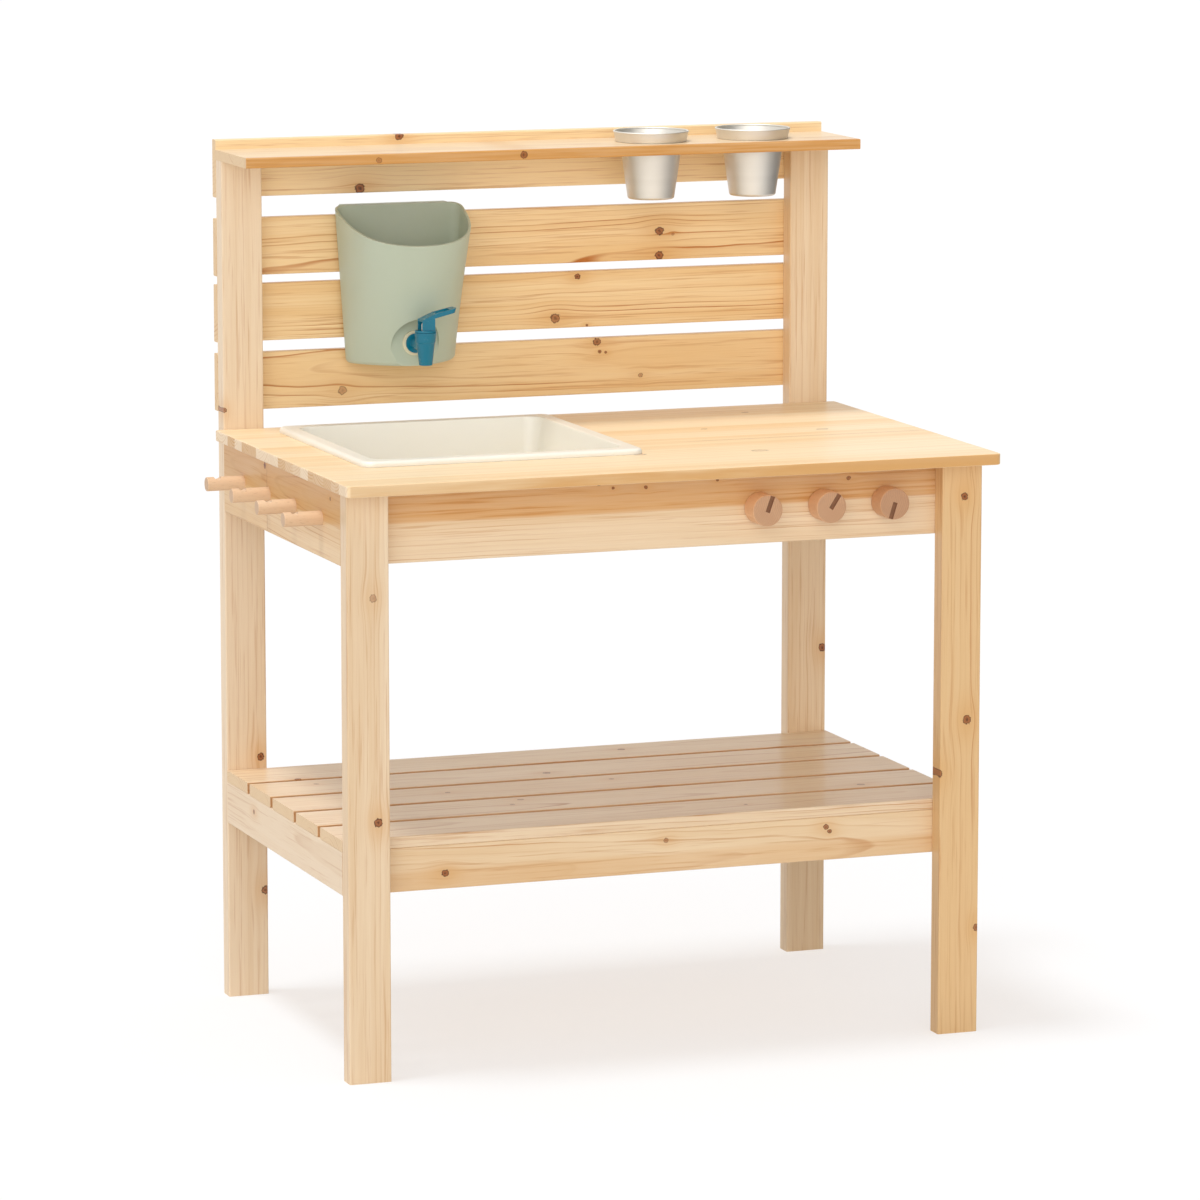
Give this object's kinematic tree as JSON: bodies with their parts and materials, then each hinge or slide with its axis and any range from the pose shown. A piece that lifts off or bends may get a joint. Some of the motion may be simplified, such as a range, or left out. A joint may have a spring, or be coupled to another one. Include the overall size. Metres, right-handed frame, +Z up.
{
  "type": "toy kitchen",
  "caption": "Outdoor toy kitchen in pine with lift-out sink, hanging water tank with lever tap, turning knobs, cups in a top shelf, slatted lower shelf and side pegs.",
  "frame": {"origin": "on the floor, under the middle of the overall box", "axes": "+X to the right and +Y to the back as seen by the child at the worktop, +Z up"},
  "size_m": [0.75, 0.4964, 0.9355],
  "materials": {
    "pine": "satin varnished pine",
    "beech": "sanded plain beech",
    "aluminium": "satin spun",
    "cream_plastic": "smooth moulded",
    "sage_plastic": "fine satin moulded",
    "teal_plastic": "smooth moulded",
    "white_plastic": "smooth moulded",
    "cream_rubber": "soft matte",
    "dark_rubber": "soft matte",
    "steel": "zinc plated"
  },
  "bodies": {
    "table": {"back_slat_1": "pine", "back_slat_2": "pine", "back_slat_3": "pine", "back_slat_4": "pine", "back_slat_screws": "steel", "frame_dowels": "beech", "front_apron": "pine", "front_left_leg": "pine", "front_right_leg": "pine", "knob_washers": "steel", "left_apron": "pine", "leg_screws": "steel", "lower_front_rail": "pine", "lower_left_rail": "pine", "lower_rear_rail": "pine", "lower_right_rail": "pine", "peg_1": "beech", "peg_2": "beech", "peg_3": "beech", "peg_4": "beech", "post_dowels": "beech", "rear_apron": "pine", "rear_left_post": "pine", "rear_right_post": "pine", "right_apron": "pine", "shelf_screws": "steel", "shelf_slat_1": "pine", "shelf_slat_2": "pine", "shelf_slat_3": "pine", "shelf_slat_4": "pine", "shelf_slat_5": "pine", "slat_dowels": "beech", "top_shelf": "pine", "worktop": "pine", "worktop_dowels": "beech"},
    "knob_left": {"knob_left": "beech", "knob_bolt_left": "steel"},
    "knob_middle": {"knob_middle": "beech", "knob_bolt_middle": "steel"},
    "knob_right": {"knob_right": "beech", "knob_bolt_right": "steel"},
    "sink": {"sink": "cream_plastic"},
    "cup_left": {"cup_left": "aluminium"},
    "cup_right": {"cup_right": "aluminium"},
    "tank": {"tank": "sage_plastic", "tap_body": "teal_plastic", "tap_gasket": "cream_rubber", "tap_inner_washer": "white_plastic", "tap_nut": "white_plastic"},
    "tap_cap": {"tap_cap": "teal_plastic", "tap_spring": "steel"},
    "tap_stem": {"tap_stem": "white_plastic", "tap_seal": "dark_rubber"},
    "tap_lever": {"tap_lever": "teal_plastic", "tap_pin": "teal_plastic"}
  },
  "joints": [
    {"name": "knob_left_turn", "type": "hinge", "parent": "table", "child": "knob_left", "pos_m": [0.1223, -0.19725, 0.5727], "axis": [0, -1, 0], "continuous": true},
    {"name": "knob_middle_turn", "type": "hinge", "parent": "table", "child": "knob_middle", "pos_m": [0.1935, -0.19725, 0.5727], "axis": [0, -1, 0], "continuous": true},
    {"name": "knob_right_turn", "type": "hinge", "parent": "table", "child": "knob_right", "pos_m": [0.2647, -0.19725, 0.5727], "axis": [0, -1, 0], "continuous": true},
    {"name": "sink_lift", "type": "slide", "parent": "table", "child": "sink", "axis": [0, 0, 1], "range_m": [0, 0.045]},
    {"name": "cup_left_lift", "type": "slide", "parent": "table", "child": "cup_left", "axis": [0, 0, 1], "range_m": [0, 0.09]},
    {"name": "cup_right_lift", "type": "slide", "parent": "table", "child": "cup_right", "axis": [0, 0, 1], "range_m": [0, 0.09]},
    {"name": "tank_lift", "type": "slide", "parent": "table", "child": "tank", "axis": [0, 0, 1], "range_m": [0, 0.011]},
    {"name": "tap_swivel", "type": "hinge", "parent": "tank", "child": "tap_cap", "pos_m": [-0.131, 0.13375, 0.722], "axis": [0, 0, 1], "range_deg": [-180, 0]},
    {"name": "tap_stem_lift", "type": "slide", "parent": "tap_cap", "child": "tap_stem", "axis": [0, 0, 1], "range_m": [0, 0.0024], "stiffness_N_per_m": 20, "springref_m": -0.003, "deforming": ["tap_spring"]},
    {"name": "tap_lever_press", "type": "hinge", "parent": "tap_stem", "child": "tap_lever", "pos_m": [-0.131, 0.13375, 0.737], "axis": [0, 1, 0], "range_deg": [0, 20]}
  ],
  "couplings": [
    {"joint": "tap_lever_press", "follows": "tap_stem_lift", "rad_per_m": 142.86}
  ]
}
